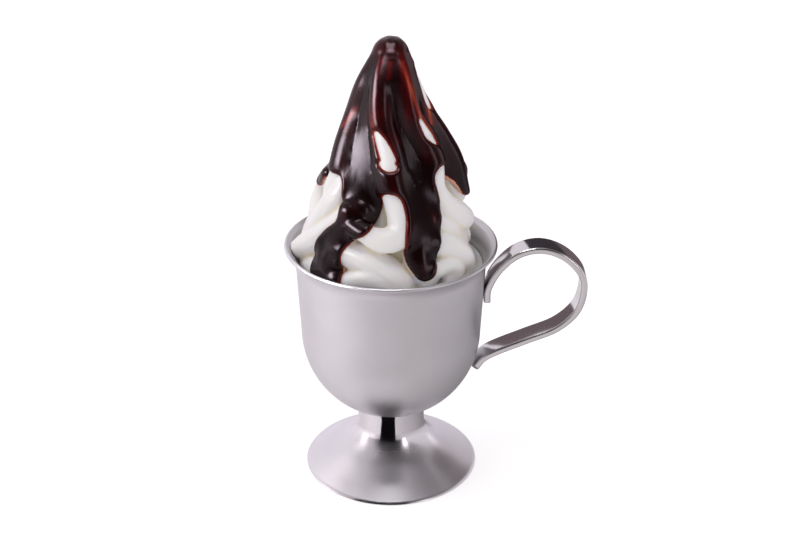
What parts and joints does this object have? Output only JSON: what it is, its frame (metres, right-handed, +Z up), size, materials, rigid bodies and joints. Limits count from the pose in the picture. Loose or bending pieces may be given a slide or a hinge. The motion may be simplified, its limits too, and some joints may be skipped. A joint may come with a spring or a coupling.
{
  "type": "soft serve in a footed steel cup",
  "caption": "Swirled cone of white soft serve under glossy chocolate sauce, heaped in a footed steel cup with a flared rim and a strap handle.",
  "frame": {"origin": "middle of the bounding box at the height of the foot's resting edge; the cup's axis stands 17.6 mm towards -X of it", "axes": "+Z up along the cup's axis, +X from the cup towards the handle, -Y towards the picture's viewer"},
  "size_m": [0.1172, 0.082, 0.1804],
  "materials": {
    "bowl_steel": "satin stainless steel",
    "foot_steel": "satin stainless steel, a little shinier",
    "handle_steel": "polished stainless steel",
    "soft_serve": "soft milky white ice cream",
    "chocolate_sauce": "wet glossy dark chocolate"
  },
  "bodies": {
    "root": {"bowl": "bowl_steel", "foot": "foot_steel", "handle": "handle_steel", "soft_serve": "soft_serve", "chocolate_sauce": "chocolate_sauce"}
  },
  "joints": []
}
